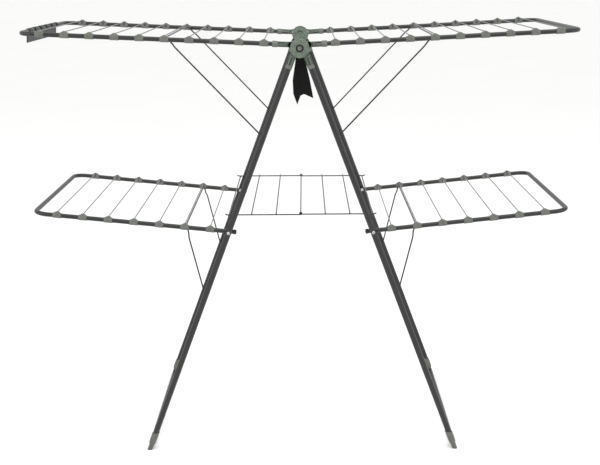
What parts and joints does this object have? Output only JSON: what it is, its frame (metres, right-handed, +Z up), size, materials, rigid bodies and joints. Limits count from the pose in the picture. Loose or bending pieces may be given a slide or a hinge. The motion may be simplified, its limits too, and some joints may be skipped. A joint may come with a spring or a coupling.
{
  "type": "clothes drying rack",
  "caption": "Folding clothes drying rack: A-frame legs, upper and lower wings with drying lines, wire props and a wire shelf between the legs.",
  "frame": {"origin": "centre of the rack's footprint, at the floor", "axes": "+X towards the right wings, -Y towards the front, +Z up"},
  "size_m": [1.4622, 0.6064, 1.1698],
  "materials": {
    "powder_coated_tube": "satin powder coat on steel tube",
    "dark_wire": "satin powder coat on steel wire",
    "coated_line": "light grey plastic-coated wire",
    "green_grey_plastic": "fine moulded grain",
    "speckled_plastic": "moulded, faintly speckled",
    "grey_plastic": "fine moulded grain",
    "dark_green_plastic": "fine moulded grain",
    "black_plastic": "moulded plugs",
    "bright_steel": "zinc plated",
    "black_fabric": "tightly woven strap"
  },
  "bodies": {
    "right_frame": {"right_front_leg": "powder_coated_tube", "right_rear_leg": "powder_coated_tube", "right_bottom_tube": "powder_coated_tube", "right_front_foot": "grey_plastic", "right_rear_foot": "grey_plastic", "right_front_leg_socket": "green_grey_plastic", "right_rear_leg_socket": "green_grey_plastic", "front_hub_cover": "speckled_plastic", "rear_hub_cover": "speckled_plastic", "front_inner_cover": "speckled_plastic", "rear_inner_cover": "speckled_plastic", "front_hub_bolt": "bright_steel", "rear_hub_bolt": "bright_steel", "hub_buttons": "speckled_plastic", "right_pivot_pins": "bright_steel", "right_wing_rivets": "bright_steel", "right_shelf_rest": "dark_wire", "strap": "black_fabric", "strap_rivet": "bright_steel"},
    "left_frame": {"left_front_leg": "powder_coated_tube", "left_rear_leg": "powder_coated_tube", "left_bottom_tube": "powder_coated_tube", "left_front_foot": "grey_plastic", "left_rear_foot": "grey_plastic", "left_front_leg_socket": "green_grey_plastic", "left_rear_leg_socket": "green_grey_plastic", "left_pivot_pins": "bright_steel", "left_wing_rivets": "bright_steel", "left_shelf_rest": "dark_wire"},
    "right_upper_wing": {"right_upper_tube": "powder_coated_tube", "right_upper_clips": "green_grey_plastic", "right_upper_lines": "coated_line", "right_upper_front_socket": "green_grey_plastic", "right_upper_rear_socket": "green_grey_plastic"},
    "right_lower_wing": {"right_lower_tube": "powder_coated_tube", "right_lower_clips": "green_grey_plastic", "right_lower_lines": "coated_line", "right_lower_caps": "black_plastic"},
    "right_upper_bail": {"right_upper_bail": "dark_wire"},
    "right_lower_bail": {"right_lower_bail": "dark_wire"},
    "right_shelf": {"right_shelf": "dark_wire"},
    "left_upper_wing": {"left_upper_tube": "powder_coated_tube", "left_upper_clips": "green_grey_plastic", "left_upper_lines": "coated_line", "left_upper_front_socket": "green_grey_plastic", "left_upper_rear_socket": "green_grey_plastic", "hanger_strip": "dark_green_plastic"},
    "left_lower_wing": {"left_lower_tube": "powder_coated_tube", "left_lower_clips": "green_grey_plastic", "left_lower_lines": "coated_line", "left_lower_caps": "black_plastic"},
    "left_upper_bail": {"left_upper_bail": "dark_wire"},
    "left_lower_bail": {"left_lower_bail": "dark_wire"},
    "left_shelf": {"left_shelf": "dark_wire"}
  },
  "joints": [
    {"name": "hub_fold", "type": "hinge", "parent": "right_frame", "child": "left_frame", "pos_m": [0, 0, 1.12], "axis": [0, -1, 0], "range_deg": [0, 38]},
    {"name": "right_upper_wing_fold", "type": "hinge", "parent": "right_frame", "child": "right_upper_wing", "pos_m": [0.022, 0, 1.128], "axis": [0, 1, 0], "range_deg": [0, 62.5]},
    {"name": "right_lower_wing_fold", "type": "hinge", "parent": "right_frame", "child": "right_lower_wing", "pos_m": [0.19449, 0, 0.631], "axis": [0, 1, 0], "range_deg": [0, 67.06]},
    {"name": "right_upper_bail_fold", "type": "hinge", "parent": "right_frame", "child": "right_upper_bail", "pos_m": [0.09826, 0, 0.887], "axis": [0, 1, 0], "range_deg": [0, 101.7]},
    {"name": "right_lower_bail_fold", "type": "hinge", "parent": "right_frame", "child": "right_lower_bail", "pos_m": [0.26252, 0, 0.45], "axis": [0, 1, 0], "range_deg": [0, 137.88]},
    {"name": "right_shelf_fold", "type": "hinge", "parent": "right_frame", "child": "right_shelf", "pos_m": [0.194, 0, 0.67358], "axis": [0, 1, 0], "range_deg": [0, 59.9]},
    {"name": "left_upper_wing_fold", "type": "hinge", "parent": "left_frame", "child": "left_upper_wing", "pos_m": [-0.022, 0, 1.128], "axis": [0, -1, 0], "range_deg": [0, 62.5]},
    {"name": "left_lower_wing_fold", "type": "hinge", "parent": "left_frame", "child": "left_lower_wing", "pos_m": [-0.19449, 0, 0.631], "axis": [0, -1, 0], "range_deg": [0, 67.06]},
    {"name": "left_upper_bail_fold", "type": "hinge", "parent": "left_frame", "child": "left_upper_bail", "pos_m": [-0.09826, 0, 0.887], "axis": [0, -1, 0], "range_deg": [0, 101.7]},
    {"name": "left_lower_bail_fold", "type": "hinge", "parent": "left_frame", "child": "left_lower_bail", "pos_m": [-0.26252, 0, 0.45], "axis": [0, -1, 0], "range_deg": [0, 137.88]},
    {"name": "left_shelf_fold", "type": "hinge", "parent": "left_frame", "child": "left_shelf", "pos_m": [-0.194, 0, 0.67358], "axis": [0, -1, 0], "range_deg": [0, 59.9]}
  ],
  "couplings": [
    {"joint": "right_lower_wing_fold", "follows": "right_upper_wing_fold", "ratio": 1.0714},
    {"joint": "right_upper_bail_fold", "follows": "right_upper_wing_fold", "ratio": 1.6256},
    {"joint": "right_lower_bail_fold", "follows": "right_upper_wing_fold", "ratio": 2.2045},
    {"joint": "right_shelf_fold", "follows": "hub_fold", "ratio": 1.5737},
    {"joint": "left_lower_wing_fold", "follows": "left_upper_wing_fold", "ratio": 1.0714},
    {"joint": "left_upper_bail_fold", "follows": "left_upper_wing_fold", "ratio": 1.6256},
    {"joint": "left_lower_bail_fold", "follows": "left_upper_wing_fold", "ratio": 2.2045},
    {"joint": "left_shelf_fold", "follows": "hub_fold", "ratio": 1.5737}
  ]
}
